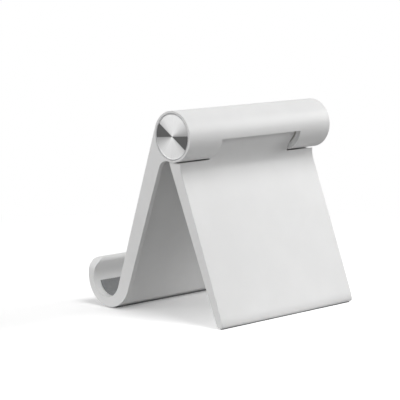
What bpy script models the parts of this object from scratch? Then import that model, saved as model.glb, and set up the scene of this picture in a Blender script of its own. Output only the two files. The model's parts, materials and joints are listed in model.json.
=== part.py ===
"""Folding tablet stand: a front panel with a J-shaped tablet hook and a hollow hinge
barrel along its top, a rear leg that nests into the panel's back, and the friction hinge
inside the barrel.

Metres, +Z up, the stand faces -Y, and the floor is z = 0.  The hinge axis runs along X.
The shape is drawn in mm, in sections across X.  Both sections use the same pair of
numbers (n, s): s runs down the panel or leg from the hinge axis, and n is square to it,
towards the back of the stand.
"""
import math

import bmesh
import bpy
from mathutils import Vector

MM = 0.001

# ---- driving dimensions, mm and degrees ------------------------------------------------
AXIS_HEIGHT = 98.1          # hinge axis above the floor
FRONT_LEAN = 18.4           # front panel, from the vertical
LEG_LEAN = 22.35            # rear leg, from the vertical, at rest
BARREL_R = 13.5
BARREL_LENGTH = 109.2
BORE_R = 10.3               # inside of the hinge barrel
GAP = 0.3                   # between pieces that touch on the real object

# front panel
RIM_WIDTH = 2.6             # side rims that the leg folds between
RIM_BACK_N = -3.5           # back edge of a rim, level with the hinge axis
RIM_BACK_SLOPE = 0.0244     # the rims get shallower towards the hook
RIM_ROOT_R = 6.0            # hollow corner between rim and barrel
TRAY_FLOOR_N = -11.0        # the wall that the leg folds against
TRAY_RAMP = (96.0, 101.0)   # over this length the wall steps out, close to the folded leg
TRAY_END_N = -9.3           # the same wall below the step, down to the heel
HOOK_OUTER_R = 16.5
HOOK_INNER_R = 10.4
HOOK_INNER_S = 94.5         # where the front face turns into the hook
HOOK_FLOOR_CLEARANCE = 0.4  # the rims stay this far off the floor
LIP_TOP_S = 88.0
LIP_CORNER_R = 7.0
CABLE_SLOT_HALF = 15.0      # slot in the lip for a charging cable
CABLE_SLOT_CORNER_R = 4.0
CABLE_SLOT_END_S = 103.5
NOTCH_HALF = 30.7           # half the width of the notch for the leg's knuckle
NOTCH_OUTER_PHI = -9.2      # edge of the notch on the barrel's outside
NOTCH_INNER_PHI = -30.4     # and on its bore: undercut, so the leg opens wider
CAP_SEAT_R = 12.4           # seat for the end disc
CAP_SEAT_DEPTH = 1.2

# rear leg
KNUCKLE_R = 9.8
KNUCKLE_ROOT_R = 12.0       # hollow corner between knuckle and leg
KNUCKLE_BORE_R = 5.3
LEG_INNER_N = -10.65        # the leg's two faces, level with the hinge axis
LEG_INNER_SLOPE = 0.0172    # the leg gets thinner towards its foot
LEG_REAR_N = -3.34
LEG_REAR_SLOPE = 0.0110
LEG_END_S = 102.4
FOOT_CLEARANCE = 0.55       # the foot's flat end is level, this far off the floor
SHOULDER_R = 14.2           # the leg's shoulders hug the barrel
FOOT_FRONT_R = 1.8
FOOT_REAR_RISE = 5.5        # the rear face curves in over this height above the foot
FOOT_REAR_RUN = 2.2

# hinge hardware
SHAFT_R = 3.0
SHAFT_FLAT = 2.4            # distance of the shaft's flat from its axis
SHAFT_END_X = 50.4
NUT_ACROSS_FLATS = 10.0
RING_POINTS = 24            # points round each turned piece
DISC_POINTS = 48            # and round the end discs

# rubber
PAD_GAP = 0.15
PAD_THICK = 0.8
HEEL_STRIP_HALF = 4.0

BARREL_HALF = BARREL_LENGTH / 2
TRAY_HALF = BARREL_HALF - RIM_WIDTH
LEG_HALF = TRAY_HALF - GAP
KNUCKLE_HALF = NOTCH_HALF - GAP

WHITE_ABS = ((0.79, 0.79, 0.78), 0.45, 0.0)
ALUMINIUM = ((0.78, 0.78, 0.79), 0.28, 1.0)
SILICONE = ((0.30, 0.31, 0.32), 0.75, 0.0)
STEEL = ((0.56, 0.57, 0.58), 0.35, 1.0)
SPRING_STEEL = ((0.30, 0.29, 0.28), 0.40, 1.0)
BRASS = ((0.72, 0.52, 0.24), 0.35, 1.0)
NYLON = ((0.62, 0.61, 0.57), 0.55, 0.0)


# ---- section drawing -------------------------------------------------------------------
def arc(centre, radius, start, end, step=6.0):
    """Points along an arc, both ends included.  Angles in degrees, from n towards s."""
    count = max(2, math.ceil(abs(end - start) / step))
    angles = [math.radians(start + (end - start) * i / count) for i in range(count + 1)]
    return [(centre[0] + radius * math.cos(a), centre[1] + radius * math.sin(a)) for a in angles]


def polar(radius, angle):
    return (radius * math.cos(math.radians(angle)), radius * math.sin(math.radians(angle)))


def join(*chains):
    """One chain out of several whose ends meet."""
    points = []
    for chain in chains:
        for point in chain:
            if not points or math.dist(points[-1], point) > 1e-6:
                points.append(point)
    return points


def rounded_corner(before, corner, after, radius, step=12.0):
    """The arc that rounds a corner between two straight edges."""
    here, u, v = Vector(corner), Vector(before) - Vector(corner), Vector(after) - Vector(corner)
    u.normalize()
    v.normalize()
    half = u.angle(v) / 2
    centre = here + (u + v).normalized() * (radius / math.sin(half))
    ends = [here + side * (radius / math.tan(half)) for side in (u, v)]
    angles = [math.degrees(math.atan2(e.y - centre.y, e.x - centre.x)) for e in ends]
    turn = (angles[1] - angles[0] + 180) % 360 - 180
    return arc(centre, radius, angles[0], angles[0] + turn, step)


def panel_place(n, s, lean=math.radians(FRONT_LEAN)):
    """(n, s) of the front panel to (y, z) from the hinge axis."""
    return (n * math.cos(lean) - s * math.sin(lean), -n * math.sin(lean) - s * math.cos(lean))


def leg_place(n, s, lean=math.radians(LEG_LEAN)):
    """(n, s) of the rear leg to (y, z) from the hinge axis."""
    return (n * math.cos(lean) + s * math.sin(lean), n * math.sin(lean) - s * math.cos(lean))


def plain_place(y, z):
    return (y, z)


# ---- mesh building ---------------------------------------------------------------------
class Skin:
    """A closed mesh made of strips along X and flat caps across it."""

    def __init__(self, place):
        self.bm = bmesh.new()
        self.place = place
        self.known = {}

    def vert(self, x, point):
        key = (round(x, 5), round(point[0], 5), round(point[1], 5))
        if key not in self.known:
            y, z = self.place(*point)
            self.known[key] = self.bm.verts.new((x * MM, y * MM, z * MM))
        return self.known[key]

    def strip(self, chain, x0, x1):
        for a, b in zip(chain, chain[1:]):
            self.bm.faces.new([self.vert(x0, a), self.vert(x0, b), self.vert(x1, b), self.vert(x1, a)])

    def strip_both(self, chain, x0, x1):
        self.strip(chain, x0, x1)
        self.strip(chain, -x0, -x1)

    def cap_both(self, loop, x):
        for side in (x, -x):
            self.bm.faces.new([self.vert(side, point) for point in loop])

    def ring_both(self, inner, outer, x):
        """The flat ring between two loops with the same number of points."""
        for side in (x, -x):
            for i in range(len(inner)):
                j = (i + 1) % len(inner)
                corners = (inner[i], inner[j], outer[j], outer[i])
                self.bm.faces.new([self.vert(side, point) for point in corners])

    def finish(self, name, parent, look, smooth_angle=35.0):
        bmesh.ops.recalc_face_normals(self.bm, faces=self.bm.faces)
        mesh = bpy.data.meshes.new(name)
        self.bm.to_mesh(mesh)
        self.bm.free()
        return add_object(name, mesh, parent, look, smooth_angle)


def add_object(name, mesh, parent, look, smooth_angle=35.0):
    colour, roughness, metallic = look
    material = bpy.data.materials.new(name)
    material.use_nodes = True
    shader = material.node_tree.nodes["Principled BSDF"]
    shader.inputs["Base Color"].default_value = (*colour, 1.0)
    shader.inputs["Roughness"].default_value = roughness
    shader.inputs["Metallic"].default_value = metallic
    material.diffuse_color = (*colour, 1.0)
    mesh.materials.append(material)
    mesh.shade_smooth()
    mesh.set_sharp_from_angle(angle=math.radians(smooth_angle))
    piece = bpy.data.objects.new(name, mesh)
    bpy.context.collection.objects.link(piece)
    piece.parent = parent
    return piece


def bevel(piece, width, segments=1, angle=40.0):
    modifier = piece.modifiers.new("edges", "BEVEL")
    modifier.width = width * MM
    modifier.segments = segments
    modifier.limit_method = "ANGLE"
    modifier.angle_limit = math.radians(angle)
    modifier.use_clamp_overlap = True
    modifier.harden_normals = False


def cut(piece, cutter):
    cutter.hide_render = True
    cutter.display_type = "WIRE"
    modifier = piece.modifiers.new("cut", "BOOLEAN")
    modifier.operation = "DIFFERENCE"
    modifier.solver = "EXACT"
    modifier.object = cutter


def prism(name, loop, x0, x1, place, parent, look):
    """A section swept straight along X."""
    skin = Skin(place)
    skin.strip(loop + loop[:1], x0, x1)
    for x in (x0, x1):
        skin.bm.faces.new([skin.vert(x, point) for point in loop])
    return skin.finish(name, parent, look)


# ---- front panel -----------------------------------------------------------------------
def hook_outer_centre():
    """Centre of the hook's outside: it touches the rims' back edge and clears the floor."""
    lean = math.radians(FRONT_LEAN)
    level_n = RIM_BACK_N - HOOK_OUTER_R * math.hypot(1, RIM_BACK_SLOPE)
    depth = AXIS_HEIGHT - HOOK_FLOOR_CLEARANCE - HOOK_OUTER_R
    s = (depth - level_n * math.sin(lean)) / (math.cos(lean) - RIM_BACK_SLOPE * math.sin(lean))
    return (level_n - RIM_BACK_SLOPE * s, s)


def panel_chains():
    """The named lines that the front panel's sections are put together from."""
    outer = hook_outer_centre()
    inner = (-BARREL_R - HOOK_INNER_R, HOOK_INNER_S)
    meet = math.degrees(math.acos((TRAY_END_N - outer[0]) / HOOK_OUTER_R))
    back = math.degrees(math.atan(RIM_BACK_SLOPE))

    root = [RIM_BACK_N + RIM_ROOT_R, BARREL_R + RIM_ROOT_R]
    for _ in range(4):
        root[0] = RIM_BACK_N - RIM_BACK_SLOPE * root[1] + RIM_ROOT_R
        root[1] = math.sqrt((BARREL_R + RIM_ROOT_R) ** 2 - root[0] ** 2)
    root_phi = math.degrees(math.atan2(root[1], root[0]))
    tray_phi = math.degrees(math.acos(TRAY_FLOOR_N / BARREL_R))

    lip_out, lip_in = outer[0] - HOOK_OUTER_R, inner[0] - HOOK_INNER_R
    lip_r = (lip_in - lip_out) / 2
    lip_centre = ((lip_out + lip_in) / 2, LIP_TOP_S + lip_r)
    hook = join(arc(outer, HOOK_OUTER_R, meet, 180), arc(lip_centre, lip_r, 180, 360, 20),
                arc(inner, HOOK_INNER_R, 180, 0, 9), [(-BARREL_R, 0)])
    return {
        "barrel_top": arc((0, 0), BARREL_R, -180, NOTCH_OUTER_PHI),
        "barrel_rear": arc((0, 0), BARREL_R, NOTCH_OUTER_PHI, root_phi),
        "barrel_under": arc((0, 0), BARREL_R, root_phi, tray_phi),
        "barrel_front": arc((0, 0), BARREL_R, tray_phi, 180),
        "rim": join(arc(root, RIM_ROOT_R, root_phi + 180, back + 180, 15),
                    arc(outer, HOOK_OUTER_R, back, meet)),
        "tray": [polar(BARREL_R, tray_phi), (TRAY_FLOOR_N, TRAY_RAMP[0]), (TRAY_END_N, TRAY_RAMP[1]),
                 arc(outer, HOOK_OUTER_R, back, meet)[-1]],
        "hook": hook,
        "notch_edge": [polar(BARREL_R, NOTCH_OUTER_PHI), polar(BORE_R, NOTCH_INNER_PHI)],
        "bore_top": arc((0, 0), BORE_R, NOTCH_INNER_PHI, -180),
        "bore_under": arc((0, 0), BORE_R, 180, NOTCH_INNER_PHI),
        "tray_top": [(-BORE_R, 0), (TRAY_FLOOR_N, 2.5), polar(BARREL_R, tray_phi)],
    }


def resample_ring(radius, like):
    """A circle with one point in line with each point of another ring."""
    return [polar(radius, math.degrees(math.atan2(p[1], p[0]))) for p in like]


def make_front_panel(parent):
    c = panel_chains()
    skin = Skin(panel_place)
    seat_x = BARREL_HALF - CAP_SEAT_DEPTH

    # outside, from the ends to the middle
    for chain in (c["barrel_top"], c["barrel_rear"], c["rim"], c["hook"]):
        skin.strip_both(chain, BARREL_HALF, TRAY_HALF)
    for chain in (c["barrel_top"], c["barrel_rear"], c["barrel_under"], c["tray"], c["hook"]):
        skin.strip_both(chain, TRAY_HALF, NOTCH_HALF)
    for chain in (c["barrel_top"], c["notch_edge"], c["bore_top"], c["tray_top"], c["tray"], c["hook"]):
        skin.strip(chain, NOTCH_HALF, -NOTCH_HALF)

    # the bore and the seats for the end discs
    bore = join(c["bore_under"], c["bore_top"])
    ring = bore[:-1]
    seat = resample_ring(CAP_SEAT_R, ring)
    skin.strip_both(bore, seat_x, NOTCH_HALF)
    skin.ring_both(ring, seat, seat_x)
    skin.strip_both(seat + seat[:1], BARREL_HALF, seat_x)

    # faces across X: the tray's sides, the notch's sides and the two ends
    skin.cap_both(join(c["rim"], c["tray"][::-1], c["barrel_under"][::-1])[:-1], TRAY_HALF)
    notch = join(c["barrel_rear"], c["barrel_under"], c["tray_top"][::-1], c["bore_under"],
                 c["notch_edge"][::-1])
    skin.cap_both(notch[:-1], NOTCH_HALF)
    rim_ring = join(c["barrel_top"], c["barrel_rear"], c["barrel_under"], c["barrel_front"])[:-1]
    side = join(c["rim"], c["hook"], c["barrel_front"][::-1], c["barrel_under"][::-1])
    skin.cap_both(side[:-1], BARREL_HALF)
    end_ring(skin, seat, rim_ring, BARREL_HALF)

    panel = skin.finish("front_panel", parent, WHITE_ABS)
    cut(panel, make_lip_cutter(parent))
    bevel(panel, 0.35)
    return panel


def end_ring(skin, inner, outer, x):
    """The flat ring at the barrel's end, between loops with different point counts."""
    def turn(point):
        return math.atan2(point[1], point[0]) % math.tau

    inner = sorted(inner, key=turn)
    outer = sorted(outer, key=turn)
    for side in (x, -x):
        i = j = 0
        while i < len(inner) or j < len(outer):
            next_in = turn(inner[i + 1]) if i + 1 < len(inner) else turn(inner[0]) + math.tau
            next_out = turn(outer[j + 1]) if j + 1 < len(outer) else turn(outer[0]) + math.tau
            a, b = inner[i % len(inner)], outer[j % len(outer)]
            if j == len(outer) or (i < len(inner) and next_in < next_out):
                corners = (a, b, inner[(i + 1) % len(inner)])
                i += 1
            else:
                corners = (a, b, outer[(j + 1) % len(outer)])
                j += 1
            skin.bm.faces.new([skin.vert(side, point) for point in corners])


def make_lip_cutter(parent):
    """Cuts the cable slot out of the lip and rounds the lip's two outer corners."""
    top_s = LIP_TOP_S - 4
    front_n = hook_outer_centre()[0] - HOOK_OUTER_R - 4
    half, r, end_s = CABLE_SLOT_HALF, CABLE_SLOT_CORNER_R, CABLE_SLOT_END_S
    slot = join([(half, top_s)], arc((half - r, end_s - r), r, 0, 90, 18),
                arc((r - half, end_s - r), r, 90, 180, 18), [(-half, top_s)])
    bm = bmesh.new()
    add_slab(bm, slot, front_n, -BARREL_R - HOOK_INNER_R)
    for side in (1, -1):
        centre = (side * (BARREL_HALF - LIP_CORNER_R), LIP_TOP_S + LIP_CORNER_R)
        corner = arc(centre, LIP_CORNER_R, -90, 0 if side > 0 else -180, 12)
        corner += [(side * (BARREL_HALF + 2), centre[1]), (side * (BARREL_HALF + 2), top_s),
                   (centre[0], top_s)]
        add_slab(bm, corner, front_n, -BARREL_R - HOOK_INNER_R - 4)
    bmesh.ops.recalc_face_normals(bm, faces=bm.faces)
    mesh = bpy.data.meshes.new("lip_cutter")
    bm.to_mesh(mesh)
    bm.free()
    return add_object("lip_cutter", mesh, parent, WHITE_ABS)


def add_slab(bm, outline, n0, n1):
    """A slab square to the front panel: the outline is (x, s), its thickness runs along n."""
    loops = []
    for n in (n0, n1):
        loops.append([])
        for x, s in outline:
            y, z = panel_place(n, s)
            loops[-1].append(bm.verts.new((x * MM, y * MM, z * MM)))
    bm.faces.new(loops[0])
    bm.faces.new(loops[1])
    for i in range(len(outline)):
        j = (i + 1) % len(outline)
        bm.faces.new([loops[0][i], loops[0][j], loops[1][j], loops[1][i]])


# ---- rear leg --------------------------------------------------------------------------
def leg_inner(s):
    return (LEG_INNER_N + LEG_INNER_SLOPE * s, s)


def leg_rear(s):
    return (LEG_REAR_N - LEG_REAR_SLOPE * s, s)


def leg_end(n, off_floor=FOOT_CLEARANCE):
    """A point of the foot's end, which is level with the floor in the open pose."""
    lean = math.radians(LEG_LEAN)
    return (n, (AXIS_HEIGHT - off_floor + n * math.sin(lean)) / math.cos(lean))


def leg_foot():
    """The leg's lower end, from its rear face round to its inner face."""
    rear, inner = leg_end(leg_rear(LEG_END_S)[0]), leg_end(leg_inner(LEG_END_S)[0])
    start, end = leg_rear(LEG_END_S - FOOT_REAR_RISE), leg_end(rear[0] - FOOT_REAR_RUN)
    curve = []
    for i in range(7):
        t = i / 6
        weights = ((1 - t) ** 2, 2 * t * (1 - t), t ** 2)
        curve.append(tuple(sum(w * p[k] for w, p in zip(weights, (start, rear, end))) for k in (0, 1)))
    return join(curve, rounded_corner(rear, inner, leg_inner(50), FOOT_FRONT_R, 15))


def leg_chains():
    """The named lines of the leg's sections.  Its rear face is one hollow curve across the
    whole width: the knuckle carries it up, and the shoulders stop it short of the barrel."""
    root = [LEG_REAR_N + KNUCKLE_ROOT_R, 0]
    for _ in range(6):
        root[1] = math.sqrt((KNUCKLE_R + KNUCKLE_ROOT_R) ** 2 - root[0] ** 2)
        root[0] = LEG_REAR_N - LEG_REAR_SLOPE * root[1] + KNUCKLE_ROOT_R
    root_phi = math.degrees(math.atan2(root[1], root[0]))
    slope = math.degrees(math.atan(LEG_REAR_SLOPE))
    far = math.hypot(*root)
    cosine = (far ** 2 + KNUCKLE_ROOT_R ** 2 - SHOULDER_R ** 2) / (2 * far * KNUCKLE_ROOT_R)
    split = root_phi - 180 - math.degrees(math.acos(cosine))
    blend = arc(root, KNUCKLE_ROOT_R, root_phi - 180, split, 5)
    hollow = arc(root, KNUCKLE_ROOT_R, split, -180 - slope, 5)
    inner_s = SHOULDER_R
    for _ in range(12):
        inner_s = math.sqrt(SHOULDER_R ** 2 - leg_inner(inner_s)[0] ** 2)
    inner_phi = math.degrees(math.atan2(inner_s, leg_inner(inner_s)[0]))
    rear_phi = math.degrees(math.atan2(hollow[0][1], hollow[0][0]))
    shoulder = arc((0, 0), SHOULDER_R, inner_phi, rear_phi, 6)
    knuckle = arc((0, 0), KNUCKLE_R, 180, 360 + root_phi, 7.5)
    return {
        "shoulder": shoulder,
        "below": join(hollow, leg_foot(), [shoulder[0]]),
        "tongue": join([shoulder[0], leg_inner(4.0)], knuckle, blend),
    }


def make_leg(parent):
    c = leg_chains()
    skin = Skin(leg_place)
    bore = arc((0, 0), KNUCKLE_BORE_R, 0, 360, 360 / RING_POINTS)
    skin.strip_both(join(c["shoulder"], c["below"]), LEG_HALF, KNUCKLE_HALF)
    skin.strip(join(c["tongue"], c["below"]), KNUCKLE_HALF, -KNUCKLE_HALF)
    skin.strip(bore, KNUCKLE_HALF, -KNUCKLE_HALF)
    skin.cap_both(join(c["shoulder"], c["below"])[:-1], LEG_HALF)
    knuckle_end(skin, join(c["tongue"], c["shoulder"][::-1])[:-1], bore[:-1])
    leg = skin.finish("leg_panel", parent, WHITE_ABS)
    bevel(leg, 0.35)
    return leg


def knuckle_end(skin, outline, bore):
    """The knuckle's flat ends: an outline with a round hole in it."""
    for side in (KNUCKLE_HALF, -KNUCKLE_HALF):
        edges = []
        for loop in (outline, bore):
            verts = [skin.vert(side, point) for point in loop]
            for a, b in zip(verts, verts[1:] + verts[:1]):
                edges.append(skin.bm.edges.get((a, b)) or skin.bm.edges.new((a, b)))
        bmesh.ops.triangle_fill(skin.bm, edges=edges, use_beauty=True)


# ---- hinge hardware --------------------------------------------------------------------
def d_shape(radius, flat):
    """A round section with one flat, as a radius for every angle."""
    def at(angle):
        return min(radius, flat / max(1e-6, math.cos(angle)))
    return lambda angle: at(angle) if math.cos(angle) > 0 else radius


def hexagon(across_flats):
    def at(angle):
        turn = (math.degrees(angle) % 60) - 30
        return across_flats / 2 / math.cos(math.radians(turn))
    return at


def turned(name, stations, parent, look, side=1, solid=False, points=RING_POINTS):
    """A piece round the hinge axis.  Each station is (x, shape), a shape being a radius or
    a radius for every angle.  A solid piece is capped; any other closes on itself."""
    bm = bmesh.new()
    rings = []
    for x, shape in stations:
        ring = []
        for i in range(points):
            angle = math.tau * i / points
            r = shape(angle) if callable(shape) else shape
            ring.append(bm.verts.new((side * x * MM, r * math.cos(angle) * MM, r * math.sin(angle) * MM)))
        rings.append(ring)
    pairs = list(zip(rings, rings[1:]))
    if solid:
        bm.faces.new(rings[0])
        bm.faces.new(rings[-1])
    else:
        pairs.append((rings[-1], rings[0]))
    for a, b in pairs:
        for i in range(points):
            j = (i + 1) % points
            bm.faces.new([a[i], a[j], b[j], b[i]])
    bmesh.ops.recalc_face_normals(bm, faces=bm.faces)
    mesh = bpy.data.meshes.new(name)
    bm.to_mesh(mesh)
    bm.free()
    return add_object(name, mesh, parent, look)


def tube(name, x0, x1, outer, inner, parent, look, side=1, chamfer=0.3):
    """A straight sleeve with chamfered outer edges."""
    stations = [(x0, inner), (x0, outer - chamfer), (x0 + chamfer, outer), (x1 - chamfer, outer),
                (x1, outer - chamfer), (x1, inner)]
    return turned(name, stations, parent, look, side)


def make_hinge(front, leg):
    loose_d = d_shape(SHAFT_R + GAP, SHAFT_FLAT + GAP)
    shaft = d_shape(SHAFT_R, SHAFT_FLAT)
    tip = d_shape(SHAFT_R - 0.5, SHAFT_FLAT - 0.5)
    stations = [(-SHAFT_END_X, tip), (0.5 - SHAFT_END_X, shaft), (SHAFT_END_X - 0.5, shaft),
                (SHAFT_END_X, tip)]
    turned("hinge_shaft", stations, leg, STEEL, solid=True)
    for hand, side in (("left", -1), ("right", 1)):
        tube("knuckle_sleeve_" + hand, 4.0, 30.0, KNUCKLE_BORE_R - GAP, loose_d, leg, NYLON, side)
        tube("hinge_carrier_" + hand, 31.0, 38.0, BORE_R - GAP, 5.0, front, NYLON, side, 0.5)
        tube("hinge_bush_" + hand, 31.2, 37.8, 4.7, SHAFT_R + GAP, front, BRASS, side, 0.2)
        tube("friction_disc_" + hand, 38.3, 39.5, 9.6, 3.6, front, STEEL, side, 0.2)
        tube("pressure_washer_" + hand, 39.8, 41.0, 8.4, loose_d, leg, STEEL, side, 0.2)
        for count, (x_in, x_out) in enumerate(((42.1, 41.3), (42.9, 43.7)), start=1):
            lift = 0.5
            stations = [(x_in, 3.5), (x_out, 7.6), (x_out + lift, 7.6), (x_in + lift, 3.5)]
            turned("disc_spring_%s_%d" % (hand, count), stations, leg, SPRING_STEEL, side)
        hexed = hexagon(NUT_ACROSS_FLATS)
        stations = [(44.9, SHAFT_R + GAP), (44.9, 4.9), (45.3, hexed), (48.5, hexed), (48.9, 4.9),
                    (48.9, SHAFT_R + GAP)]
        turned("lock_nut_" + hand, stations, leg, STEEL, side)
        seat = BARREL_HALF - CAP_SEAT_DEPTH
        stations = [(BARREL_HALF - 1.4, 8.9), (50.8, 8.9), (50.8, 9.8), (51.0, 10.0), (seat + 0.2, 10.0),
                    (seat + 0.2, 12.15), (BARREL_HALF - 0.35, 12.15), (BARREL_HALF - 0.1, 12.05),
                    (BARREL_HALF, 11.8), (BARREL_HALF, 11.1), (BARREL_HALF - 0.15, 10.95),
                    (BARREL_HALF - 0.15, 10.75), (BARREL_HALF, 10.6)]
        turned("end_disc_" + hand, stations, front, ALUMINIUM, side, True, DISC_POINTS)


# ---- rubber pads -----------------------------------------------------------------------
def make_pads(front, leg, axis_z):
    face = -BARREL_R - PAD_GAP
    for name, top, end in (("face_pad_upper", 3.0, 17.0), ("face_pad_lower", 70.0, 80.0)):
        loop = [(face, top), (face, end), (face - PAD_THICK + 0.2, end), (face - PAD_THICK, end - 0.2),
                (face - PAD_THICK, top + 0.2), (face - PAD_THICK + 0.2, top)]
        prism(name, loop, -46.0, 46.0, panel_place, front, SILICONE)

    centre = (-BARREL_R - HOOK_INNER_R, HOOK_INNER_S)
    under, over = HOOK_INNER_R - PAD_GAP, HOOK_INNER_R - PAD_GAP - PAD_THICK
    loop = join(arc(centre, under, 35, 145, 10), arc(centre, over, 143, 37, 10))
    for hand, side in (("left", -1), ("right", 1)):
        prism("hook_pad_" + hand, loop, side * 19.0, side * 50.0, panel_place, front, SILICONE)

    centre_y, centre_z = panel_place(*hook_outer_centre())
    radius = HOOK_OUTER_R + PAD_GAP / 2
    loop = [(y, centre_z - math.sqrt(radius ** 2 - (y - centre_y) ** 2))
            for y in (centre_y + HEEL_STRIP_HALF * (i / 6 - 1) for i in range(13))]
    loop += [(loop[-1][0], -axis_z + 0.2), (loop[-1][0] - 0.2, -axis_z), (loop[0][0] + 0.2, -axis_z),
             (loop[0][0], -axis_z + 0.2)]
    prism("heel_strip", loop, -52.4, 52.4, plain_place, front, SILICONE)

    strip_top = FOOT_CLEARANCE - PAD_GAP
    inner_y = leg_place(*leg_end(leg_inner(LEG_END_S)[0] + 1.0, strip_top))[0]
    rear_y = leg_place(*leg_end(leg_rear(LEG_END_S)[0] - FOOT_REAR_RUN, strip_top))[0]
    loop = [(inner_y, -axis_z), (rear_y - 0.1, -axis_z), (rear_y, 0.1 - axis_z),
            (rear_y, strip_top - axis_z), (inner_y, strip_top - axis_z)]
    prism("foot_strip", loop, -50.5, 50.5, plain_place, leg, SILICONE)


def add_empty(name, y, z):
    empty = bpy.data.objects.new(name, None)
    empty.empty_display_size = 0.01
    empty.location = (0, y * MM, z * MM)
    bpy.context.collection.objects.link(empty)
    return empty


def main():
    for thing in list(bpy.data.objects):
        bpy.data.objects.remove(thing, do_unlink=True)
    front_y = panel_place(*hook_outer_centre())[0] - HOOK_OUTER_R
    rear_y = max(leg_place(*point)[0] for point in leg_foot())
    axis_y = -(front_y + rear_y) / 2
    front = add_empty("front_frame", axis_y, AXIS_HEIGHT)
    leg = add_empty("leg_pivot", axis_y, AXIS_HEIGHT)
    make_front_panel(front)
    make_leg(leg)
    make_hinge(front, leg)
    make_pads(front, leg, AXIS_HEIGHT)


main()
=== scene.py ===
"""The looks of a folding tablet stand: fine white ABS mouldings, spun aluminium end discs,
grey silicone pads, and the camera, floor and light that show it from behind.

The frame is in metres.  The mouldings' sections are drawn in mm as pairs (n, s): s runs
down the panel or leg from the hinge axis, and n is square to it, towards the back.
"""
import json
import math

import bmesh
import bpy
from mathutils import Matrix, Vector


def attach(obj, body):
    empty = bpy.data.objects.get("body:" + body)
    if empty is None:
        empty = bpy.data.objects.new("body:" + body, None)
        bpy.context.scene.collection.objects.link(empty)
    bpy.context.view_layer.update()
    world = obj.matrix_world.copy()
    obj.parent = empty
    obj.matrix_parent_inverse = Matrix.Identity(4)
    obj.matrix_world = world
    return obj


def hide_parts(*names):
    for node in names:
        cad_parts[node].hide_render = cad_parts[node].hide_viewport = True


MM = 0.001

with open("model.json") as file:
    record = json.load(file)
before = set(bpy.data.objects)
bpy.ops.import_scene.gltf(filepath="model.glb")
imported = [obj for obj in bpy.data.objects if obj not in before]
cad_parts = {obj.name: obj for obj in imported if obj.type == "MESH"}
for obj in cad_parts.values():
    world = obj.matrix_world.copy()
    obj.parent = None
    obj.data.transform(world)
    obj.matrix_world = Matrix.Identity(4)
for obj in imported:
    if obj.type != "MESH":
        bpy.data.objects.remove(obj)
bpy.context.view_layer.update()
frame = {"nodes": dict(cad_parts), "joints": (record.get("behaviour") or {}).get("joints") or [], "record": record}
hinge = frame["joints"][0]
AXIS_Y, AXIS_Z = hinge["pos_m"][1], hinge["pos_m"][2]

# ---- driving dimensions, mm and degrees ------------------------------------------------
AXIS_HEIGHT = AXIS_Z / MM
FRONT_LEAN = 18.4           # front panel, from the vertical
LEG_LEAN = 22.35            # rear leg, from the vertical, at rest
BARREL_R = 13.5
BARREL_LENGTH = 109.2
BORE_R = 10.3               # inside of the hinge barrel
GAP = 0.3                   # between pieces that touch on the real object

# front panel
RIM_WIDTH = 2.6             # side rims that the leg folds between
RIM_BACK_N = -3.5           # back edge of a rim, level with the hinge axis
RIM_BACK_SLOPE = 0.0244     # the rims get shallower towards the hook
RIM_ROOT_R = 6.0            # hollow corner between rim and barrel
TRAY_FLOOR_N = -11.0        # the wall that the leg folds against
TRAY_RAMP = (96.0, 101.0)   # over this length the wall steps out, close to the folded leg
TRAY_END_N = -9.3           # the same wall below the step, down to the heel
TRAY_TOP_S = 2.5            # where that wall meets the bore in the notch
HOOK_OUTER_R = 16.5
HOOK_INNER_R = 10.4
HOOK_INNER_S = 94.5         # where the front face turns into the hook
HOOK_FLOOR_CLEARANCE = 0.4  # the rims stay this far off the floor
LIP_TOP_S = 88.0
LIP_CORNER_R = 7.0
CABLE_SLOT_HALF = 15.0      # slot in the lip for a charging cable
CABLE_SLOT_CORNER_R = 4.0
CABLE_SLOT_END_S = 103.5
NOTCH_HALF = 30.7           # half the width of the notch for the leg's knuckle
NOTCH_OUTER_PHI = -9.2      # edge of the notch on the barrel's outside
NOTCH_INNER_PHI = -30.4     # and on its bore: undercut, so the leg opens wider
CAP_SEAT_R = 12.4           # seat for the end disc
CAP_SEAT_DEPTH = 1.2
CUTTER_MARGIN = 4.0         # how far the lip's cutter reaches past what it cuts

# rear leg
KNUCKLE_R = 9.8
KNUCKLE_ROOT_R = 12.0       # hollow corner between knuckle and leg
KNUCKLE_BORE_R = 5.3
TONGUE_S = 4.0              # where the knuckle runs into the leg's inner face
LEG_INNER_N = -10.65        # the leg's two faces, level with the hinge axis
LEG_INNER_SLOPE = 0.0172    # the leg gets thinner towards its foot
LEG_REAR_N = -3.34
LEG_REAR_SLOPE = 0.0110
LEG_END_S = 102.4
FOOT_CLEARANCE = 0.55       # the foot's flat end is level, this far off the floor
SHOULDER_R = 14.2           # the leg's shoulders hug the barrel
FOOT_FRONT_R = 1.8
FOOT_REAR_RISE = 5.5        # the rear face curves in over this height above the foot
FOOT_REAR_RUN = 2.2

# edges
EDGE_R = 0.35               # moulded radius on the edges
RIM_EDGE_R = 1.2            # and on the outer rear edges of the rims
RIM_EDGE_RUN = (15.0, 20.0, 90.0, 101.0)    # the s where that one starts, is full, fades and ends
EDGE_ANGLE = 38.0           # faces that meet at more than this have an edge between them
EDGE_SEGMENTS = 3

# half widths
BARREL_HALF = BARREL_LENGTH / 2
TRAY_HALF = BARREL_HALF - RIM_WIDTH
LEG_HALF = TRAY_HALF - GAP
KNUCKLE_HALF = NOTCH_HALF - GAP

SAME_POINT = 1e-6           # closer than this, two ends are one point


# ---- section drawing -------------------------------------------------------------------
def arc(centre, radius, start, end, step=3.0):
    """Points along an arc, both ends included.  Angles in degrees, from n towards s."""
    count = max(2, math.ceil(abs(end - start) / step))
    angles = [math.radians(start + (end - start) * i / count) for i in range(count + 1)]
    return [(centre[0] + radius * math.cos(a), centre[1] + radius * math.sin(a)) for a in angles]


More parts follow.
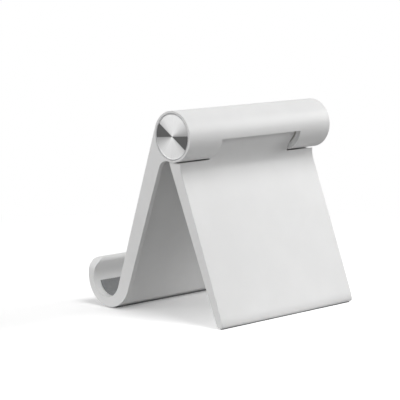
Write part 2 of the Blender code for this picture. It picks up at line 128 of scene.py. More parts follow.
def polar(radius, angle):
    """The point (n, s) at an angle in degrees round the hinge axis."""
    return (radius * math.cos(math.radians(angle)), radius * math.sin(math.radians(angle)))


def join(*chains):
    """One chain out of several whose ends meet."""
    points = []
    for chain in chains:
        for point in chain:
            if not points or math.dist(points[-1], point) > SAME_POINT:
                points.append(point)
    return points


def rounded_corner(before, corner, after, radius, step=9.0):
    """The arc that rounds a corner between two straight edges."""
    here, u, v = Vector(corner), Vector(before) - Vector(corner), Vector(after) - Vector(corner)
    u.normalize()
    v.normalize()
    half = u.angle(v) / 2
    centre = here + (u + v).normalized() * (radius / math.sin(half))
    ends = [here + side * (radius / math.tan(half)) for side in (u, v)]
    angles = [math.degrees(math.atan2(e.y - centre.y, e.x - centre.x)) for e in ends]
    turn = (angles[1] - angles[0] + 180) % 360 - 180
    return arc(centre, radius, angles[0], angles[0] + turn, step)


def panel_place(n, s, lean=math.radians(FRONT_LEAN)):
    """(n, s) of the front panel to (y, z) from the hinge axis."""
    return (n * math.cos(lean) - s * math.sin(lean), -n * math.sin(lean) - s * math.cos(lean))


def leg_place(n, s, lean=math.radians(LEG_LEAN)):
    """(n, s) of the rear leg to (y, z) from the hinge axis."""
    return (n * math.cos(lean) + s * math.sin(lean), n * math.sin(lean) - s * math.cos(lean))


def to_frame(x, y, z):
    """mm from the hinge axis to metres in the frame."""
    return (x * MM, y * MM + AXIS_Y, z * MM + AXIS_Z)


# ---- mesh building ---------------------------------------------------------------------
class Skin:
    """A closed mesh made of strips along X and flat caps across it."""

    def __init__(self, place):
        self.bm = bmesh.new()
        self.place = place
        self.known = {}

    def vert(self, x, point):
        """The one vertex at (x, n, s), made when it is first asked for."""
        key = (round(x, 5), round(point[0], 5), round(point[1], 5))
        if key not in self.known:
            y, z = self.place(*point)
            self.known[key] = self.bm.verts.new(to_frame(x, y, z))
        return self.known[key]

    def strip(self, chain, x0, x1):
        """A chain of points swept from x0 to x1."""
        for a, b in zip(chain, chain[1:]):
            corners = ((x0, a), (x0, b), (x1, b), (x1, a))
            self.bm.faces.new([self.vert(x, point) for x, point in corners])

    def strip_both(self, chain, x0, x1):
        self.strip(chain, x0, x1)
        self.strip(chain, -x0, -x1)

    def cap_both(self, loop, x):
        """A flat face inside a closed loop, at x and at -x."""
        for side in (x, -x):
            self.bm.faces.new([self.vert(side, point) for point in loop])

    def ring_both(self, inner, outer, x):
        """The flat ring between two loops with the same number of points."""
        for side in (x, -x):
            for i in range(len(inner)):
                j = (i + 1) % len(inner)
                corners = (inner[i], inner[j], outer[j], outer[i])
                self.bm.faces.new([self.vert(side, point) for point in corners])

    def finish(self, name, material):
        bmesh.ops.recalc_face_normals(self.bm, faces=self.bm.faces)
        return add_object(name, self.bm, material)


def link_new(name, data):
    thing = bpy.data.objects.new(name, data)
    bpy.context.collection.objects.link(thing)
    return thing


def add_object(name, bm, material):
    mesh = bpy.data.meshes.new(name)
    bm.to_mesh(mesh)
    bm.free()
    mesh.materials.append(material)
    mesh.shade_smooth()
    return link_new(name, mesh)


def cut(piece, cutter):
    """Cuts a shape out of a piece for good and removes the cutter."""
    modifier = piece.modifiers.new("cut", "BOOLEAN")
    modifier.operation, modifier.solver, modifier.object = "DIFFERENCE", "EXACT", cutter
    bpy.context.view_layer.update()
    result = piece.evaluated_get(bpy.context.evaluated_depsgraph_get())
    mesh = bpy.data.meshes.new_from_object(result)
    piece.modifiers.clear()
    piece.data = mesh
    bpy.data.objects.remove(cutter, do_unlink=True)


def round_edges(piece, radius_at=lambda middle: EDGE_R):
    """Moulded radii on the edges: radius_at gives the radius for the middle of an edge."""
    bm = bmesh.new()
    bm.from_mesh(piece.data)
    weight = bm.edges.layers.float.new("bevel_weight_edge")
    for edge in bm.edges:
        if edge.is_manifold and edge.calc_face_angle() > math.radians(EDGE_ANGLE):
            middle = (edge.verts[0].co + edge.verts[1].co) / 2
            edge[weight] = radius_at(middle) / RIM_EDGE_R
    bm.to_mesh(piece.data)
    bm.free()
    modifier = piece.modifiers.new("edges", "BEVEL")
    modifier.width, modifier.segments = RIM_EDGE_R * MM, EDGE_SEGMENTS
    modifier.limit_method = "WEIGHT"
    modifier.use_clamp_overlap = True
    modifier.harden_normals = True


def rim_radius_at(middle):
    """The rims' outer rear edges are rounder than the others, from the barrel to the heel."""
    lean = math.radians(FRONT_LEAN)
    y, z = (middle.y - AXIS_Y) / MM, (middle.z - AXIS_Z) / MM
    n, s = y * math.cos(lean) - z * math.sin(lean), -y * math.sin(lean) - z * math.cos(lean)
    outermost = abs(middle.x) >= (BARREL_HALF - 0.01) * MM
    if not outermost or n < TRAY_FLOOR_N:
        return EDGE_R
    start, full, fading, end = RIM_EDGE_RUN
    rising, falling = (s - start) / (full - start), (end - s) / (end - fading)
    share = min(1.0, max(0.0, rising), max(0.0, falling))
    return EDGE_R + (RIM_EDGE_R - EDGE_R) * share


def stand_for(piece, body, slot, *nodes):
    """piece rides on a body and is shown in place of those CAD nodes."""
    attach(piece, body)
    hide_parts(*nodes)


# ---- front panel -----------------------------------------------------------------------
def hook_outer_centre():
    """Centre of the hook's outside: it touches the rims' back edge and clears the floor."""
    lean = math.radians(FRONT_LEAN)
    level_n = RIM_BACK_N - HOOK_OUTER_R * math.hypot(1, RIM_BACK_SLOPE)
    depth = AXIS_HEIGHT - HOOK_FLOOR_CLEARANCE - HOOK_OUTER_R
    s = (depth - level_n * math.sin(lean)) / (math.cos(lean) - RIM_BACK_SLOPE * math.sin(lean))
    return (level_n - RIM_BACK_SLOPE * s, s)


def panel_chains():
    """The named lines that the front panel's sections are put together from."""
    outer = hook_outer_centre()
    inner = (-BARREL_R - HOOK_INNER_R, HOOK_INNER_S)
    meet = math.degrees(math.acos((TRAY_END_N - outer[0]) / HOOK_OUTER_R))
    back = math.degrees(math.atan(RIM_BACK_SLOPE))

    # the hollow corner's centre, where its circle touches both the rim's back and the barrel
    root = [RIM_BACK_N + RIM_ROOT_R, BARREL_R + RIM_ROOT_R]
    for _ in range(4):
        root[0] = RIM_BACK_N - RIM_BACK_SLOPE * root[1] + RIM_ROOT_R
        root[1] = math.sqrt((BARREL_R + RIM_ROOT_R) ** 2 - root[0] ** 2)
    root_phi = math.degrees(math.atan2(root[1], root[0]))
    tray_phi = math.degrees(math.acos(TRAY_FLOOR_N / BARREL_R))

    lip_out, lip_in = outer[0] - HOOK_OUTER_R, inner[0] - HOOK_INNER_R
    lip_r = (lip_in - lip_out) / 2
    lip_centre = ((lip_out + lip_in) / 2, LIP_TOP_S + lip_r)
    hook = join(arc(outer, HOOK_OUTER_R, meet, 180), arc(lip_centre, lip_r, 180, 360, step=20),
                arc(inner, HOOK_INNER_R, 180, 0, step=9), [(-BARREL_R, 0)])
    heel = arc(outer, HOOK_OUTER_R, back, meet)
    return {
        "barrel_top": arc((0, 0), BARREL_R, -180, NOTCH_OUTER_PHI),
        "barrel_rear": arc((0, 0), BARREL_R, NOTCH_OUTER_PHI, root_phi),
        "barrel_under": arc((0, 0), BARREL_R, root_phi, tray_phi),
        "barrel_front": arc((0, 0), BARREL_R, tray_phi, 180),
        "rim": join(arc(root, RIM_ROOT_R, root_phi + 180, back + 180, step=15), heel),
        "tray": [polar(BARREL_R, tray_phi), (TRAY_FLOOR_N, TRAY_RAMP[0]),
                 (TRAY_END_N, TRAY_RAMP[1]), heel[-1]],
        "hook": hook,
        "notch_edge": [polar(BARREL_R, NOTCH_OUTER_PHI), polar(BORE_R, NOTCH_INNER_PHI)],
        "bore_top": arc((0, 0), BORE_R, NOTCH_INNER_PHI, -180),
        "bore_under": arc((0, 0), BORE_R, 180, NOTCH_INNER_PHI),
        "tray_top": [(-BORE_R, 0), (TRAY_FLOOR_N, TRAY_TOP_S), polar(BARREL_R, tray_phi)],
    }


def resample_ring(radius, like):
    """A circle with one point in line with each point of another ring."""
    return [polar(radius, math.degrees(math.atan2(p[1], p[0]))) for p in like]


def make_front_panel():
    """One moulding: barrel, rims, the thin wall between them, and the hook."""
    c = panel_chains()
    skin = Skin(panel_place)
    seat_x = BARREL_HALF - CAP_SEAT_DEPTH

    # outside, from the ends to the middle
    for chain in (c["barrel_top"], c["barrel_rear"], c["rim"], c["hook"]):
        skin.strip_both(chain, BARREL_HALF, TRAY_HALF)
    for chain in (c["barrel_top"], c["barrel_rear"], c["barrel_under"], c["tray"], c["hook"]):
        skin.strip_both(chain, TRAY_HALF, NOTCH_HALF)
    for chain in (c["barrel_top"], c["notch_edge"], c["bore_top"], c["tray_top"], c["tray"],
                  c["hook"]):
        skin.strip(chain, NOTCH_HALF, -NOTCH_HALF)

    # the bore and the seats for the end discs
    bore = join(c["bore_under"], c["bore_top"])
    ring = bore[:-1]
    seat = resample_ring(CAP_SEAT_R, ring)
    skin.strip_both(bore, seat_x, NOTCH_HALF)
    skin.ring_both(ring, seat, seat_x)
    skin.strip_both(seat + seat[:1], BARREL_HALF, seat_x)

    # faces across X: the tray's sides, the notch's sides and the two ends
    skin.cap_both(join(c["rim"], c["tray"][::-1], c["barrel_under"][::-1])[:-1], TRAY_HALF)
    notch = join(c["barrel_rear"], c["barrel_under"], c["tray_top"][::-1], c["bore_under"],
                 c["notch_edge"][::-1])
    skin.cap_both(notch[:-1], NOTCH_HALF)
    rim_ring = join(c["barrel_top"], c["barrel_rear"], c["barrel_under"],
                    c["barrel_front"])[:-1]
    side = join(c["rim"], c["hook"], c["barrel_front"][::-1], c["barrel_under"][::-1])
    skin.cap_both(side[:-1], BARREL_HALF)
    end_ring(skin, seat, rim_ring, BARREL_HALF)

    panel = skin.finish("panel_moulding", LOOKS["front_panel"])
    cut(panel, make_lip_cutter())
    round_edges(panel, rim_radius_at)
    stand_for(panel, "front", "front_panel", "front_panel")


def end_ring(skin, inner, outer, x):
    """The flat ring at the barrel's end, between loops with different point counts."""
    def turn(point):
        return math.atan2(point[1], point[0]) % math.tau

    def next_turn(loop, place):
        return turn(loop[place + 1]) if place + 1 < len(loop) else turn(loop[0]) + math.tau

    inner = sorted(inner, key=turn)
    outer = sorted(outer, key=turn)
    for side in (x, -x):
        i = j = 0
        while i < len(inner) or j < len(outer):
            a, b = inner[i % len(inner)], outer[j % len(outer)]
            inner_first = next_turn(inner, i) < next_turn(outer, j)
            if j == len(outer) or (i < len(inner) and inner_first):
                corners = (a, b, inner[(i + 1) % len(inner)])
                i += 1
            else:
                corners = (a, b, outer[(j + 1) % len(outer)])
                j += 1
            skin.bm.faces.new([skin.vert(side, point) for point in corners])


def make_lip_cutter():
    """Cuts the cable slot out of the lip and rounds the lip's two outer corners."""
    top_s = LIP_TOP_S - CUTTER_MARGIN
    front_n = hook_outer_centre()[0] - HOOK_OUTER_R - CUTTER_MARGIN
    channel_n = -BARREL_R - HOOK_INNER_R
    half, r, end_s = CABLE_SLOT_HALF, CABLE_SLOT_CORNER_R, CABLE_SLOT_END_S
    slot = join([(half, top_s)], arc((half - r, end_s - r), r, 0, 90, step=18),
                arc((r - half, end_s - r), r, 90, 180, step=18), [(-half, top_s)])
    bm = bmesh.new()
    add_slab(bm, slot, front_n, channel_n)
    for side in (1, -1):
        centre = (side * (BARREL_HALF - LIP_CORNER_R), LIP_TOP_S + LIP_CORNER_R)
        past = side * (BARREL_HALF + CUTTER_MARGIN / 2)
        corner = arc(centre, LIP_CORNER_R, -90, 0 if side > 0 else -180, step=12)
        corner += [(past, centre[1]), (past, top_s), (centre[0], top_s)]
        add_slab(bm, corner, front_n, channel_n - CUTTER_MARGIN)
    bmesh.ops.recalc_face_normals(bm, faces=bm.faces)
    return add_object("lip_cutter", bm, LOOKS["front_panel"])


def add_slab(bm, outline, n0, n1):
    """A slab square to the front panel: the outline is (x, s), its thickness runs along n."""
    front, back = [[bm.verts.new(to_frame(x, *panel_place(n, s))) for x, s in outline]
                   for n in (n0, n1)]
    bm.faces.new(front)
    bm.faces.new(back)
    for i in range(len(outline)):
        j = (i + 1) % len(outline)
        bm.faces.new([front[i], front[j], back[j], back[i]])


# ---- rear leg --------------------------------------------------------------------------
def leg_inner(s):
    """A point of the leg's inner face, which lies against the panel when folded."""
    return (LEG_INNER_N + LEG_INNER_SLOPE * s, s)


def leg_rear(s):
    """A point of the leg's rear face."""
    return (LEG_REAR_N - LEG_REAR_SLOPE * s, s)


def leg_end(n):
    """A point of the foot's end, which is level with the floor in the open pose."""
    lean = math.radians(LEG_LEAN)
    return (n, (AXIS_HEIGHT - FOOT_CLEARANCE + n * math.sin(lean)) / math.cos(lean))


def leg_foot():
    """The leg's lower end, from its rear face round to its inner face."""
    rear, inner = leg_end(leg_rear(LEG_END_S)[0]), leg_end(leg_inner(LEG_END_S)[0])
    start, end = leg_rear(LEG_END_S - FOOT_REAR_RISE), leg_end(rear[0] - FOOT_REAR_RUN)
    curve = []
    steps = 6
    for i in range(steps + 1):
        t = i / steps
        weights = ((1 - t) ** 2, 2 * t * (1 - t), t ** 2)
        pairs = list(zip(weights, (start, rear, end)))
        curve.append(tuple(sum(w * p[k] for w, p in pairs) for k in (0, 1)))
    further_up = leg_inner(50.0)
    return join(curve, rounded_corner(rear, inner, further_up, FOOT_FRONT_R, step=15))


def leg_chains():
    """The named lines of the leg's sections.  Its rear face is one hollow curve across the
    whole width: the knuckle carries it up, and the shoulders stop it short of the barrel."""
    # the hollow corner's centre, where its circle touches both the rear face and the knuckle
    root = [LEG_REAR_N + KNUCKLE_ROOT_R, 0]
    for _ in range(6):
        root[1] = math.sqrt((KNUCKLE_R + KNUCKLE_ROOT_R) ** 2 - root[0] ** 2)
        root[0] = LEG_REAR_N - LEG_REAR_SLOPE * root[1] + KNUCKLE_ROOT_R
    root_phi = math.degrees(math.atan2(root[1], root[0]))
    slope = math.degrees(math.atan(LEG_REAR_SLOPE))

    # the same curve is split where it passes the shoulders
    far = math.hypot(*root)
    cosine = (far ** 2 + KNUCKLE_ROOT_R ** 2 - SHOULDER_R ** 2) / (2 * far * KNUCKLE_ROOT_R)
    split = root_phi - 180 - math.degrees(math.acos(cosine))
    blend = arc(root, KNUCKLE_ROOT_R, root_phi - 180, split, step=5)
    hollow = arc(root, KNUCKLE_ROOT_R, split, -180 - slope, step=5)

    inner_s = SHOULDER_R
    for _ in range(12):
        inner_s = math.sqrt(SHOULDER_R ** 2 - leg_inner(inner_s)[0] ** 2)
    inner_phi = math.degrees(math.atan2(inner_s, leg_inner(inner_s)[0]))
    rear_phi = math.degrees(math.atan2(hollow[0][1], hollow[0][0]))
    shoulder = arc((0, 0), SHOULDER_R, inner_phi, rear_phi, step=6)
    knuckle = arc((0, 0), KNUCKLE_R, 180, 360 + root_phi, step=7.5)
    return {
        "shoulder": shoulder,
        "below": join(hollow, leg_foot(), [shoulder[0]]),
        "tongue": join([shoulder[0], leg_inner(TONGUE_S)], knuckle, blend),
    }


def make_leg():
    """One moulding: knuckle, shoulders, blade and foot."""
    c = leg_chains()
    skin = Skin(leg_place)
    bore = arc((0, 0), KNUCKLE_BORE_R, 0, 360, step=7.5)
    skin.strip_both(join(c["shoulder"], c["below"]), LEG_HALF, KNUCKLE_HALF)
    skin.strip(join(c["tongue"], c["below"]), KNUCKLE_HALF, -KNUCKLE_HALF)
    skin.strip(bore, KNUCKLE_HALF, -KNUCKLE_HALF)
    skin.cap_both(join(c["shoulder"], c["below"])[:-1], LEG_HALF)
    knuckle_end(skin, join(c["tongue"], c["shoulder"][::-1])[:-1], bore[:-1])
    leg = skin.finish("leg_moulding", LOOKS["leg_panel"])
    round_edges(leg)
    stand_for(leg, "leg", "leg_panel", "leg_panel")


def knuckle_end(skin, outline, bore):
    """The knuckle's flat ends: an outline with a round hole in it."""
    for side in (KNUCKLE_HALF, -KNUCKLE_HALF):
        edges = []
        for loop in (outline, bore):
            verts = [skin.vert(side, point) for point in loop]
            for a, b in zip(verts, verts[1:] + verts[:1]):
                edges.append(skin.bm.edges.get((a, b)) or skin.bm.edges.new((a, b)))
        bmesh.ops.triangle_fill(skin.bm, edges=edges, use_beauty=True)


# ---- end discs -------------------------------------------------------------------------
DISC_FACE_R = 11.70          # the brushed face, inside the disc's bright rim; the painted reflection sectors cover it
DISC_PROFILE = (            # (x, r) from the middle of the face to the stub inside the bore
    (54.42, 0.0), (54.42, 4.0), (54.42, 8.0), (54.42, 11.50), (54.42, 11.65), (54.44, 11.70),
    (54.55, 11.78), (54.60, 11.86), (54.60, 12.06), (54.57, 12.16), (54.49, 12.24),
    (54.38, 12.29), (54.25, 12.30), (53.60, 12.30), (53.60, 10.00), (51.00, 10.00),
    (50.80, 9.80), (50.80, 8.90), (53.20, 8.90), (53.20, 0.0))
DISC_POINTS = 144
DISC_SHARP_ANGLE = 40.0


def make_end_discs():
    """The profile turned about the hinge axis, once for each end."""
    for hand, side in (("left", -1), ("right", 1)):
        bm = bmesh.new()
        rings = []
        for x, r in DISC_PROFILE:
            steps = DISC_POINTS if r else 1
            angles = [math.tau * i / steps for i in range(steps)]
            places = [(side * x, r * math.cos(a), r * math.sin(a)) for a in angles]
            rings.append([bm.verts.new(to_frame(*place)) for place in places])
        for a, b in zip(rings, rings[1:]):
            for i in range(DISC_POINTS):
                j = (i + 1) % DISC_POINTS
                corners = [a[i % len(a)], a[j % len(a)], b[j % len(b)], b[i % len(b)]]
                bm.faces.new(list(dict.fromkeys(corners)))
        bmesh.ops.recalc_face_normals(bm, faces=bm.faces)
        disc = add_object("aluminium_end_disc_" + hand, bm, LOOKS["end_disc"])
        disc.data.set_sharp_from_angle(angle=math.radians(DISC_SHARP_ANGLE))
        stand_for(disc, "front", "end_disc", "end_disc_" + hand)


# ---- materials -------------------------------------------------------------------------
def new_material(name):
    material = bpy.data.materials.new(name)
    material.use_nodes = True
    tree = material.node_tree
    return material, tree, tree.nodes["Principled BSDF"]


def add(tree, kind, **values):
    """A node with its properties and unlinked inputs set by name."""
    node = tree.nodes.new(kind)
    for key, value in values.items():
        if hasattr(node, key):
            setattr(node, key, value)
        else:
            set_inputs(node, **{key: value})
    return node


def set_inputs(node, **values):
    """Plain values on a node's own sockets: Some_Name stands for the socket "Some Name"."""
    for key, value in values.items():
        node.inputs[key.replace("_", " ")].default_value = value


def feed(tree, socket, value):
    """Links another node's output to a socket, or sets the socket to a plain value."""
    if isinstance(value, bpy.types.NodeSocket):
        tree.links.new(value, socket)
    else:
        socket.default_value = value


def calc(tree, operation, *values, kind="ShaderNodeMath"):
    """A math node with outputs or plain values on its inputs."""
    node = add(tree, kind, operation=operation)
    for socket, value in zip(node.inputs, values):
        feed(tree, socket, value)
    return node.outputs["Value"] if operation == "LENGTH" else node.outputs[0]


def calc_vector(tree, operation, *values):
    return calc(tree, operation, *values, kind="ShaderNodeVectorMath")


def mix_colours(tree, blend, factor, first, second):
    """Two colours mixed; sockets 6 and 7 are the node's colour inputs, output 2 its colour."""
    node = add(tree, "ShaderNodeMix", data_type="RGBA", blend_type=blend)
    for key, value in (("Factor", factor), (6, first), (7, second)):
        feed(tree, node.inputs[key], value)
    return node.outputs[2]


def noise(tree, coords, scale, detail=4.0, roughness=0.55):
    node = add(tree, "ShaderNodeTexNoise", Scale=scale, Detail=detail, Roughness=roughness)
    tree.links.new(coords, node.inputs["Vector"])
    return node.outputs["Fac"]


def fine_lines(tree, across, scale, detail):
    """Noise over one value only: rings over a radius, rays over an angle."""
    node = add(tree, "ShaderNodeTexNoise", noise_dimensions="1D", Scale=scale, Detail=detail)
    tree.links.new(across, node.inputs["W"])
    return node.outputs["Fac"]


def ramp(tree, factor, low, high, start=0.35, end=0.65):
    """factor between start and end, as a colour or grey value between low and high."""
    node = tree.nodes.new("ShaderNodeValToRGB")
    stops = node.color_ramp.elements
    for stop, place, value in ((stops[0], start, low), (stops[1], end, high)):
        stop.position = place
        stop.color = (*value, 1.0) if isinstance(value, tuple) else (value, value, value, 1.0)
    tree.links.new(factor, node.inputs["Fac"])
    return node.outputs["Color"]


def bump(tree, height, strength, distance, normal=None):
    """A bumped normal; distance is the height of the bumps in metres."""
    node = add(tree, "ShaderNodeBump", Strength=strength, Distance=distance)
    tree.links.new(height, node.inputs["Height"])
    if normal is not None:
        tree.links.new(normal, node.inputs["Normal"])
    return node.outputs["Normal"]


def position(tree):
    return tree.nodes.new("ShaderNodeTexCoord").outputs["Object"]


def white_abs():
    """Moulded ABS with a fine spark-eroded texture: low, even grain and a soft satin gloss."""
    material, tree, shader = new_material("white_abs")
    coords = position(tree)
    link = tree.links.new
    tint = noise(tree, coords, scale=45.0)
    link(ramp(tree, tint, (0.80, 0.80, 0.797), (0.825, 0.825, 0.822)), shader.inputs["Base Color"])
    gloss = noise(tree, coords, scale=900.0)
    link(ramp(tree, gloss, 0.40, 0.50), shader.inputs["Roughness"])
    grain = noise(tree, coords, scale=5200.0, detail=2.0)
    grain = bump(tree, grain, strength=0.16, distance=0.00004)
    waves = noise(tree, coords, scale=60.0, detail=2.0)
    waves = bump(tree, waves, strength=0.10, distance=0.0002, normal=grain)
    link(waves, shader.inputs["Normal"])
    set_inputs(shader, IOR=1.50, Subsurface_Weight=0.04,
               Subsurface_Radius=(0.002, 0.0018, 0.0016))
    return material


def silicone():
    """Soft matt grey silicone with a fine dusty grain."""
    material, tree, shader = new_material("grey_silicone")
    coords = position(tree)
    link = tree.links.new
    dust = noise(tree, coords, scale=300.0)
    link(ramp(tree, dust, (0.230, 0.235, 0.240), (0.270, 0.275, 0.280)),
         shader.inputs["Base Color"])
    gloss = noise(tree, coords, scale=1500.0)
    link(ramp(tree, gloss, 0.62, 0.78), shader.inputs["Roughness"])
    grain = noise(tree, coords, scale=3000.0, detail=3.0)
    link(bump(tree, grain, strength=0.3, distance=0.00005), shader.inputs["Normal"])
    set_inputs(shader, Sheen_Weight=0.15)
    return material


def nylon():
    """Natural nylon, slightly yellow and a little cloudy."""
    material, tree, shader = new_material("natural_nylon")
    coords = position(tree)
    link = tree.links.new
    tint = noise(tree, coords, scale=120.0)
    link(ramp(tree, tint, (0.58, 0.57, 0.52), (0.64, 0.63, 0.59)), shader.inputs["Base Color"])
    gloss = noise(tree, coords, scale=700.0)
    link(ramp(tree, gloss, 0.45, 0.60), shader.inputs["Roughness"])
    grain = noise(tree, coords, scale=2500.0)
    link(bump(tree, grain, strength=0.2, distance=0.00005), shader.inputs["Normal"])
    set_inputs(shader, Subsurface_Weight=0.1, Subsurface_Radius=(0.002, 0.002, 0.0015))
    return material


def radius_from_axis(tree, coords):
    """Distance from the hinge axis, in metres."""
    offset = calc_vector(tree, "SUBTRACT", coords, (0, AXIS_Y, AXIS_Z))
    return calc_vector(tree, "LENGTH", calc_vector(tree, "MULTIPLY", offset, (0, 1, 1)))


def spun_metal(name, colours, roughness, anisotropy, groove_scale):
    """Metal turned about the hinge axis: fine rings, and a highlight drawn out across them."""
    material, tree, shader = new_material(name)
    coords = position(tree)
    link = tree.links.new
    rings = fine_lines(tree, radius_from_axis(tree, coords), groove_scale, detail=3.0)
    link(ramp(tree, rings, *colours), shader.inputs["Base Color"])
    link(ramp(tree, rings, *roughness), shader.inputs["Roughness"])
    smudge = noise(tree, coords, scale=90.0, detail=3.0)
    smudge = bump(tree, smudge, strength=0.05, distance=0.0002)
    link(bump(tree, rings, strength=0.35, distance=0.00002, normal=smudge),
         shader.inputs["Normal"])
    set_inputs(shader, Metallic=1.0, Anisotropic=anisotropy)
    return material


PAINTED_REFLECTION_SECTORS = (                # painted reflection on the disc's face: turn from the first edge (0 to 1 is half a circle), and the grey painted there
    (0.00, 0.32), (0.08, 0.50), (0.19, 0.78), (0.30, 0.97), (0.41, 0.97), (0.52, 0.90),
    (0.64, 0.75), (0.74, 0.57), (0.775, 0.50), (0.785, 0.09), (0.995, 0.09), (1.00, 0.32))
PAINTED_REFLECTION_START = 5.9        # the first edge of the painted reflection, degrees from +Y towards +Z
DISC_RIM_COLOUR = (0.62, 0.62, 0.63, 1.0)


def turn_about_axis(tree, coords):
    """Angle round the hinge axis, counted in half turns from the first edge of the painted reflection."""
    split = tree.nodes.new("ShaderNodeSeparateXYZ")
    tree.links.new(coords, split.inputs[0])
    y = calc(tree, "SUBTRACT", split.outputs["Y"], AXIS_Y)
    z = calc(tree, "SUBTRACT", split.outputs["Z"], AXIS_Z)
    angle = calc(tree, "ARCTAN2", z, y)
    half_turns = calc(tree, "MULTIPLY_ADD", angle, 1 / math.pi, 2 - PAINTED_REFLECTION_START / 180)
    return calc(tree, "FRACT", half_turns)


def end_disc_metal():
    """Aluminium brushed towards the centre, plain at the rim; the bright and dark sectors on its face are painted
    reflection.
    """
    material, tree, shader = new_material("aluminium_painted_reflection")
    link = tree.links.new
    coords = position(tree)
    radius = radius_from_axis(tree, coords)
    turn = turn_about_axis(tree, coords)
    # painted reflection: bright and dark sectors painted into the face's colour by angle round the axis
    painted_reflection_ramp = tree.nodes.new("ShaderNodeValToRGB")
    stops = painted_reflection_ramp.color_ramp.elements
    for count, (place, grey) in enumerate(PAINTED_REFLECTION_SECTORS):
        stop = stops[0] if count == 0 else stops[-1] if count == 1 else stops.new(place)
        stop.position, stop.color = place, (grey, grey, grey, 1.0)
    link(turn, painted_reflection_ramp.inputs["Fac"])
    on_face = calc(tree, "LESS_THAN", radius, DISC_FACE_R * MM)
    colour = mix_colours(tree, "MIX", on_face, DISC_RIM_COLOUR, painted_reflection_ramp.outputs["Color"])
    rays = ramp(tree, fine_lines(tree, turn, scale=90.0, detail=4.0), 0.93, 1.0)
    link(mix_colours(tree, "MULTIPLY", 1.0, colour, rays), shader.inputs["Base Color"])
    rings = fine_lines(tree, radius, scale=5200.0, detail=3.0)
    link(ramp(tree, rings, 0.34, 0.44), shader.inputs["Roughness"])
    link(bump(tree, rings, strength=0.15, distance=0.00001), shader.inputs["Normal"])
    set_inputs(shader, Metallic=0.65, Anisotropic=0.5)
    tangent = add(tree, "ShaderNodeTangent", direction_type="RADIAL", axis="X")
    link(tangent.outputs["Tangent"], shader.inputs["Tangent"])
    return material


ABS = white_abs()
LOOKS = {
    "front_panel": ABS,
    "leg_panel": ABS,
    "silicone": silicone(),
    "end_disc": end_disc_metal(),
    "hinge_steel": spun_metal("turned_steel", ((0.48, 0.49, 0.50), (0.60, 0.61, 0.62)),
                              roughness=(0.25, 0.38), anisotropy=0.3, groove_scale=3000.0),
    "spring_steel": spun_metal("spring_steel", ((0.20, 0.19, 0.18), (0.30, 0.29, 0.28)),
                               roughness=(0.30, 0.45), anisotropy=0.2, groove_scale=2000.0),
    "bush_brass": spun_metal("turned_brass", ((0.62, 0.43, 0.18), (0.74, 0.54, 0.26)),
                             roughness=(0.22, 0.34), anisotropy=0.3, groove_scale=3000.0),
    "hinge_nylon": nylon(),
}


def dress_cad_nodes():
    """Every CAD node gets the material of its slot in the record."""
    for row in frame["record"]["subparts"]:
        mesh = frame["nodes"][row["node"]].data
        mesh.materials.clear()
        mesh.materials.append(LOOKS[row["material_slot"]])


# ---- stage, light and camera, in metres ------------------------------------------------
CAMERA_AZIMUTH, CAMERA_ELEVATION = math.radians(135.35), math.radians(8.31)
CAMERA_DISTANCE = 0.9123
CAMERA_TARGET = Vector((0.0340, AXIS_Y, 0.06276))
CAMERA_LENS, CAMERA_SENSOR = 154.38, 36.0   # mm
CAMERA_CLIP = (0.05, 20.0)

FLOOR_HALF = 6.0
FLOOR_GREY = (0.94, 0.96)
FLOOR_PAINTED_LIGHT = (0.10, 0.45)   # painted light: an emission that keeps the floor near white and lightens the stand's shadow, less at the heel than the foot
PAINTED_LIGHT_RUN = (-0.035, 0.045)  # the y of the heel and of the foot, where the painted light runs from low to full
FLOOR_FADE = (0.16, 0.34)   # distance over which the floor turns into backdrop
FLOOR_BOUNCE = (0.85, 0.30)  # how much light the floor gives back near the stand and away from it
BOUNCE_FADE = (0.04, 0.10)  # distance over which that changes
ROOM_LIGHT = 0.25
WHITE = (1.0, 1.0, 1.0, 1.0)

LIGHT_TARGET = (0.0, 0.0, 0.06)
SOFTBOXES = (               # name, place, diameter, watts
    ("rear_top_softbox", (0.0, 0.5, 1.3), 0.6, 8.7),
    ("side_softbox", (1.35, -0.5, 0.55), 0.8, 6.2),
    ("front_side_softbox", (0.95, -0.95, 0.25), 0.7, 3.1),
    ("rear_side_softbox", (1.2, 0.75, 0.3), 0.8, 1.2),
    ("left_softbox", (-1.2, 0.7, 0.6), 0.8, 9.6),
    ("front_softbox", (-0.4, -1.3, 0.9), 0.8, 6.0),
)


def aim(thing, target):
    direction = Vector(target) - thing.location
    thing.rotation_euler = direction.to_track_quat("-Z", "Y").to_euler()


def make_camera():
    data = bpy.data.cameras.new("camera")
    data.lens, data.sensor_width = CAMERA_LENS, CAMERA_SENSOR
    data.clip_start, data.clip_end = CAMERA_CLIP
    camera = link_new("camera", data)
    level = math.cos(CAMERA_ELEVATION)
    back = Vector((math.sin(CAMERA_AZIMUTH) * level, -math.cos(CAMERA_AZIMUTH) * level,
                   math.sin(CAMERA_ELEVATION)))
    camera.location = CAMERA_TARGET + back * CAMERA_DISTANCE
    aim(camera, CAMERA_TARGET)
    bpy.context.scene.camera = camera


def mix_shaders(tree, factor, first, second):
    node = tree.nodes.new("ShaderNodeMixShader")
    for socket, value in zip(node.inputs, (factor, first, second)):
        feed(tree, socket, value)
    return node.outputs[0]


def seen_by_camera(tree, shown, otherwise):
    """What the camera sees directly, and what lights the rest of the scene."""
    path = tree.nodes.new("ShaderNodeLightPath")
    return mix_shaders(tree, path.outputs["Is Camera Ray"], otherwise, shown)


def run(tree, value, start, end, **settings):
    """value between start and end, as a share from 0 to 1 unless settings say otherwise."""
    node = add(tree, "ShaderNodeMapRange", From_Min=start, From_Max=end, **settings)
    tree.links.new(value, node.inputs["Value"])
    return node.outputs["Result"]


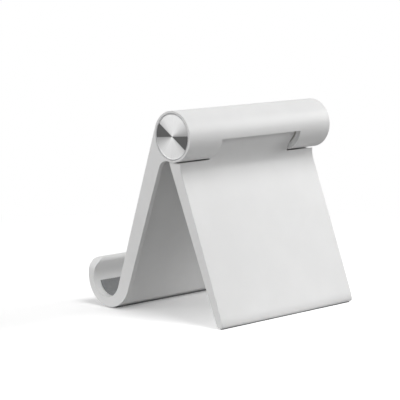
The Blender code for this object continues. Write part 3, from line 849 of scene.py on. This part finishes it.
def make_floor():
    """A white floor that keeps the stand's soft shadow near it, lightened there by painted light, and fades into
    the backdrop.
    """
    bm = bmesh.new()
    bmesh.ops.create_grid(bm, x_segments=8, y_segments=8, size=FLOOR_HALF)
    mesh = bpy.data.meshes.new("floor")
    bm.to_mesh(mesh)
    bm.free()
    floor = link_new("floor", mesh)
    material, tree, _ = new_material("pale_floor")
    tree.nodes.clear()
    link = tree.links.new
    coords = position(tree)

    # near the stand: a lit floor with painted light added, an emission that lightens the shadow more at the foot
    # than at the heel
    lit = tree.nodes.new("ShaderNodeBsdfDiffuse")
    link(ramp(tree, noise(tree, coords, scale=3.0), *FLOOR_GREY), lit.inputs["Color"])
    split = tree.nodes.new("ShaderNodeSeparateXYZ")
    link(coords, split.inputs[0])
    painted_light_strength = run(tree, split.outputs["Y"], *PAINTED_LIGHT_RUN, To_Min=FLOOR_PAINTED_LIGHT[0], To_Max=FLOOR_PAINTED_LIGHT[1])
    painted_glow = tree.nodes.new("ShaderNodeEmission")
    link(painted_light_strength, painted_glow.inputs["Strength"])
    floor_with_painted_light = tree.nodes.new("ShaderNodeAddShader")
    link(lit.outputs[0], floor_with_painted_light.inputs[0])
    link(painted_glow.outputs[0], floor_with_painted_light.inputs[1])

    # away from it: the white of the backdrop
    backdrop = add(tree, "ShaderNodeEmission", Strength=1.0)
    distance = calc_vector(tree, "LENGTH", coords)
    fade = run(tree, distance, *FLOOR_FADE, interpolation_type="SMOOTHSTEP")
    shown = mix_shaders(tree, fade, floor_with_painted_light.outputs[0], backdrop.outputs[0])

    # what the stand gets back from the floor
    bounce = tree.nodes.new("ShaderNodeBsdfDiffuse")
    link(ramp(tree, distance, *FLOOR_BOUNCE, *BOUNCE_FADE), bounce.inputs["Color"])
    output = tree.nodes.new("ShaderNodeOutputMaterial")
    link(seen_by_camera(tree, shown, bounce.outputs[0]), output.inputs["Surface"])
    mesh.materials.append(material)


def make_world():
    """A white backdrop, and a dimmer room that lights the stand."""
    world = bpy.data.worlds.new("studio")
    bpy.context.scene.world = world
    world.use_nodes = True
    tree = world.node_tree
    tree.nodes.clear()
    backdrop = add(tree, "ShaderNodeBackground", Strength=1.0, Color=WHITE)
    room = add(tree, "ShaderNodeBackground", Strength=ROOM_LIGHT, Color=WHITE)
    output = tree.nodes.new("ShaderNodeOutputWorld")
    surface = seen_by_camera(tree, backdrop.outputs[0], room.outputs[0])
    tree.links.new(surface, output.inputs["Surface"])
    bpy.context.scene.view_settings.view_transform = "Standard"


def make_lights():
    for name, place, diameter, watts in SOFTBOXES:
        data = bpy.data.lights.new(name, "AREA")
        data.shape, data.size, data.energy = "DISK", diameter, watts
        light = link_new(name, data)
        light.location = place
        aim(light, LIGHT_TARGET)


dress_cad_nodes()
make_front_panel()
make_leg()
make_end_discs()
make_floor()
make_world()
make_lights()
make_camera()
